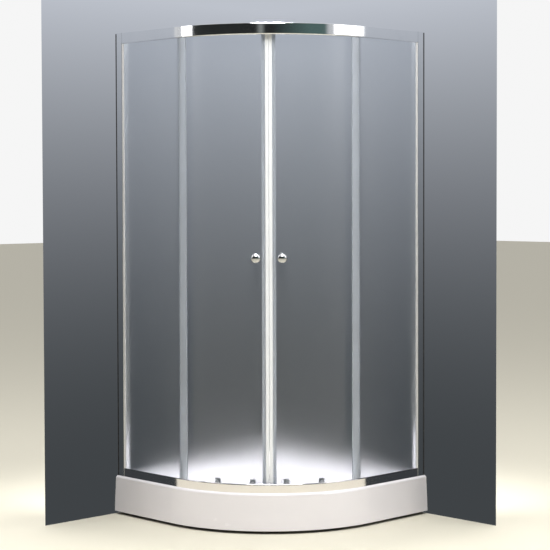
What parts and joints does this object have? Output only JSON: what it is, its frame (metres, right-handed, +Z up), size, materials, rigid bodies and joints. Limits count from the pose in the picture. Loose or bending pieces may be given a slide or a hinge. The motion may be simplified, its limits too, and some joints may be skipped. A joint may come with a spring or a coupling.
{
  "type": "quadrant shower enclosure",
  "caption": "Corner shower enclosure: white quadrant tray, bright metal frame, flat fixed frosted panes and curved sliding frosted doors with round knobs.",
  "frame": {"origin": "centre of the square that the tray stands in, on the floor", "axes": "+Z up; the left wall is at -X, the right wall at +Y, and the curved doors face +X, -Y"},
  "size_m": [0.9, 0.9, 1.95],
  "materials": {
    "white_acrylic": "gloss white acrylic moulding",
    "board": "raw particle board",
    "galvanised_steel": "galvanised, matt",
    "black_plastic": "matt moulded",
    "grey_plastic": "matt moulded",
    "white_plastic": "satin moulded",
    "rubber_black": "matt",
    "polished_aluminium": "polished bright",
    "mill_aluminium": "satin mill finish",
    "stainless_steel": "satin",
    "chrome": "polished chrome plate",
    "frosted_glass": "toughened, frosted on the inner face",
    "clear_seal": "translucent, faintly blue",
    "magnet_white": "white flexible strip"
  },
  "bodies": {
    "enclosure": {"tray_shell": "white_acrylic", "tray_base_board": "board", "tray_support_frame": "galvanised_steel", "foot_stems": "galvanised_steel", "foot_nuts": "galvanised_steel", "foot_pads": "black_plastic", "waste_flange": "white_plastic", "waste_seals": "rubber_black", "waste_body": "white_plastic", "top_rail": "polished_aluminium", "bottom_rail": "polished_aluminium", "post_caps": "polished_aluminium", "frame_screws": "stainless_steel", "wall_seals": "rubber_black", "rail_connectors": "grey_plastic", "glass_gaskets": "white_plastic", "door_stops": "rubber_black", "wall_channel_left": "mill_aluminium", "post_left": "polished_aluminium", "fixed_glass_left": "frosted_glass", "edge_strip_left": "clear_seal", "wall_channel_right": "mill_aluminium", "post_right": "polished_aluminium", "fixed_glass_right": "frosted_glass", "edge_strip_right": "clear_seal"},
    "waste_cover": {"waste_cover": "chrome"},
    "left_door": {"door_glass_left": "frosted_glass", "meeting_seal_left": "clear_seal", "magnet_strip_left": "magnet_white", "trailing_seal_left": "clear_seal", "outer_knob_left": "chrome", "inner_knob_left": "chrome", "top_brackets_left": "grey_plastic", "clamp_screws_left": "stainless_steel", "bottom_plates_left": "grey_plastic", "roller_axles_left": "stainless_steel", "button_springs_left": "stainless_steel"},
    "top_wheel_lead_left": {"top_wheel_lead_left": "white_plastic"},
    "bottom_wheel_lead_left": {"bottom_wheel_lead_left": "white_plastic"},
    "release_button_lead_left": {"release_button_lead_left": "grey_plastic"},
    "top_wheel_trail_left": {"top_wheel_trail_left": "white_plastic"},
    "bottom_wheel_trail_left": {"bottom_wheel_trail_left": "white_plastic"},
    "release_button_trail_left": {"release_button_trail_left": "grey_plastic"},
    "right_door": {"door_glass_right": "frosted_glass", "meeting_seal_right": "clear_seal", "magnet_strip_right": "magnet_white", "trailing_seal_right": "clear_seal", "outer_knob_right": "chrome", "inner_knob_right": "chrome", "top_brackets_right": "grey_plastic", "clamp_screws_right": "stainless_steel", "bottom_plates_right": "grey_plastic", "roller_axles_right": "stainless_steel", "button_springs_right": "stainless_steel"},
    "top_wheel_lead_right": {"top_wheel_lead_right": "white_plastic"},
    "bottom_wheel_lead_right": {"bottom_wheel_lead_right": "white_plastic"},
    "release_button_lead_right": {"release_button_lead_right": "grey_plastic"},
    "top_wheel_trail_right": {"top_wheel_trail_right": "white_plastic"},
    "bottom_wheel_trail_right": {"bottom_wheel_trail_right": "white_plastic"},
    "release_button_trail_right": {"release_button_trail_right": "grey_plastic"}
  },
  "joints": [
    {"name": "waste_cover_lift", "type": "slide", "parent": "enclosure", "child": "waste_cover", "axis": [0, 0, 1], "range_m": [0, 0.03]},
    {"name": "left_door_slide", "type": "hinge", "parent": "enclosure", "child": "left_door", "pos_m": [-0.1, 0.1, 0.155], "axis": [0, 0, 1], "range_deg": [-24, 0]},
    {"name": "top_wheel_lead_left_roll", "type": "hinge", "parent": "left_door", "child": "top_wheel_lead_left", "pos_m": [0.20264, -0.2936, 1.936], "axis": [0.6095, -0.7928, 0], "continuous": true},
    {"name": "bottom_wheel_lead_left_roll", "type": "hinge", "parent": "left_door", "child": "bottom_wheel_lead_left", "pos_m": [0.20264, -0.2936, 0.173], "axis": [0.6095, -0.7928, 0], "continuous": true},
    {"name": "release_button_lead_left_press", "type": "slide", "parent": "left_door", "child": "release_button_lead_left", "axis": [-0.6095, 0.7928, 0], "range_m": [0, 0.003], "stiffness_N_per_m": 400},
    {"name": "top_wheel_trail_left_roll", "type": "hinge", "parent": "left_door", "child": "top_wheel_trail_left", "pos_m": [0.08229, -0.36182, 1.936], "axis": [0.3672, -0.9302, 0], "continuous": true},
    {"name": "bottom_wheel_trail_left_roll", "type": "hinge", "parent": "left_door", "child": "bottom_wheel_trail_left", "pos_m": [0.08229, -0.36182, 0.173], "axis": [0.3672, -0.9302, 0], "continuous": true},
    {"name": "release_button_trail_left_press", "type": "slide", "parent": "left_door", "child": "release_button_trail_left", "axis": [-0.3672, 0.9302, 0], "range_m": [0, 0.003], "stiffness_N_per_m": 400},
    {"name": "right_door_slide", "type": "hinge", "parent": "enclosure", "child": "right_door", "pos_m": [-0.1, 0.1, 0.155], "axis": [0, 0, 1], "range_deg": [0, 24]},
    {"name": "top_wheel_lead_right_roll", "type": "hinge", "parent": "right_door", "child": "top_wheel_lead_right", "pos_m": [0.2936, -0.20264, 1.936], "axis": [0.7928, -0.6095, 0], "continuous": true},
    {"name": "bottom_wheel_lead_right_roll", "type": "hinge", "parent": "right_door", "child": "bottom_wheel_lead_right", "pos_m": [0.2936, -0.20264, 0.173], "axis": [0.7928, -0.6095, 0], "continuous": true},
    {"name": "release_button_lead_right_press", "type": "slide", "parent": "right_door", "child": "release_button_lead_right", "axis": [-0.7928, 0.6095, 0], "range_m": [0, 0.003], "stiffness_N_per_m": 400},
    {"name": "top_wheel_trail_right_roll", "type": "hinge", "parent": "right_door", "child": "top_wheel_trail_right", "pos_m": [0.36182, -0.08229, 1.936], "axis": [0.9302, -0.3672, 0], "continuous": true},
    {"name": "bottom_wheel_trail_right_roll", "type": "hinge", "parent": "right_door", "child": "bottom_wheel_trail_right", "pos_m": [0.36182, -0.08229, 0.173], "axis": [0.9302, -0.3672, 0], "continuous": true},
    {"name": "release_button_trail_right_press", "type": "slide", "parent": "right_door", "child": "release_button_trail_right", "axis": [-0.9302, 0.3672, 0], "range_m": [0, 0.003], "stiffness_N_per_m": 400}
  ],
  "couplings": [
    {"joint": "top_wheel_lead_left_roll", "follows": "left_door_slide", "ratio": -62.062},
    {"joint": "bottom_wheel_lead_left_roll", "follows": "left_door_slide", "ratio": -62.062},
    {"joint": "top_wheel_trail_left_roll", "follows": "left_door_slide", "ratio": -62.062},
    {"joint": "bottom_wheel_trail_left_roll", "follows": "left_door_slide", "ratio": -62.062},
    {"joint": "top_wheel_lead_right_roll", "follows": "right_door_slide", "ratio": -62.062},
    {"joint": "bottom_wheel_lead_right_roll", "follows": "right_door_slide", "ratio": -62.062},
    {"joint": "top_wheel_trail_right_roll", "follows": "right_door_slide", "ratio": -62.062},
    {"joint": "bottom_wheel_trail_right_roll", "follows": "right_door_slide", "ratio": -62.062}
  ]
}
